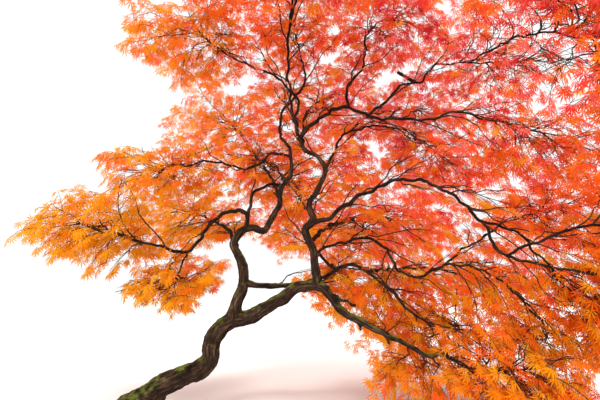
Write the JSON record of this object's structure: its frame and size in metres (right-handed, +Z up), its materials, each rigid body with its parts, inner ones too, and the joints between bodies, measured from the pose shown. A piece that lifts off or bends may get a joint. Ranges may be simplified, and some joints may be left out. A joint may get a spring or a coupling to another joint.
{
  "type": "japanese maple tree",
  "caption": "Whole japanese maple in autumn leaf: a low winding trunk that forks, crooked boughs, and a wide open dome of lacy amber, orange and red foliage.",
  "frame": {"origin": "centre of the trunk's flat cut at ground level", "axes": "+Z up, +X the way the trunk leans and the crown reaches furthest, -Y the open front of the crown"},
  "size_m": [6.4752, 5.7814, 4.4447],
  "materials": {
    "bark": "rough, fissured bark with moss",
    "amber_leaves": "thin matt leaves",
    "orange_leaves": "thin matt leaves",
    "vermilion_leaves": "thin matt leaves",
    "rose_leaves": "thin matt leaves"
  },
  "bodies": {
    "root": {"trunk": "bark", "right_leader": "bark", "left_leader": "bark", "centre_leader": "bark", "left_arm": "bark", "left_drop": "bark", "back_bough": "bark", "upper_left_arm": "bark", "high_left_leader": "bark", "lower_right_bough": "bark", "cross_bough": "bark", "right_bough": "bark", "upper_right_bough": "bark", "high_left_bough": "bark", "high_right_bough": "bark", "shoulder_bough": "bark", "inner_right_bough": "bark", "sweeping_bough": "bark", "falling_bough": "bark", "side_bough": "bark", "low_back_left_bough": "bark", "high_back_left_bough": "bark", "inner_back_bough": "bark", "low_back_right_bough": "bark", "high_back_bough": "bark", "high_back_right_bough": "bark", "low_far_right_bough": "bark", "far_right_bough": "bark", "high_front_bough": "bark", "front_bough": "bark", "front_right_bough": "bark", "low_front_right_bough": "bark", "left_leaves": "amber_leaves", "left_hanging_leaves": "amber_leaves", "upper_left_leaves": "orange_leaves", "high_left_leaves": "orange_leaves", "top_leaves": "vermilion_leaves", "high_right_leaves": "rose_leaves", "shoulder_leaves": "rose_leaves", "upper_right_leaves": "rose_leaves", "inner_right_leaves": "vermilion_leaves", "falling_leaves": "rose_leaves", "side_leaves": "vermilion_leaves", "right_leaves": "orange_leaves", "low_right_leaves": "orange_leaves", "low_middle_leaves": "orange_leaves", "back_left_leaves": "orange_leaves", "high_back_left_leaves": "orange_leaves", "inner_back_leaves": "orange_leaves", "back_leaves": "orange_leaves", "high_back_leaves": "vermilion_leaves", "back_right_leaves": "vermilion_leaves", "high_back_right_leaves": "vermilion_leaves", "low_far_right_leaves": "vermilion_leaves", "far_right_leaves": "rose_leaves", "high_front_leaves": "vermilion_leaves", "front_leaves": "orange_leaves", "front_right_leaves": "rose_leaves", "low_front_right_leaves": "vermilion_leaves"}
  },
  "joints": []
}
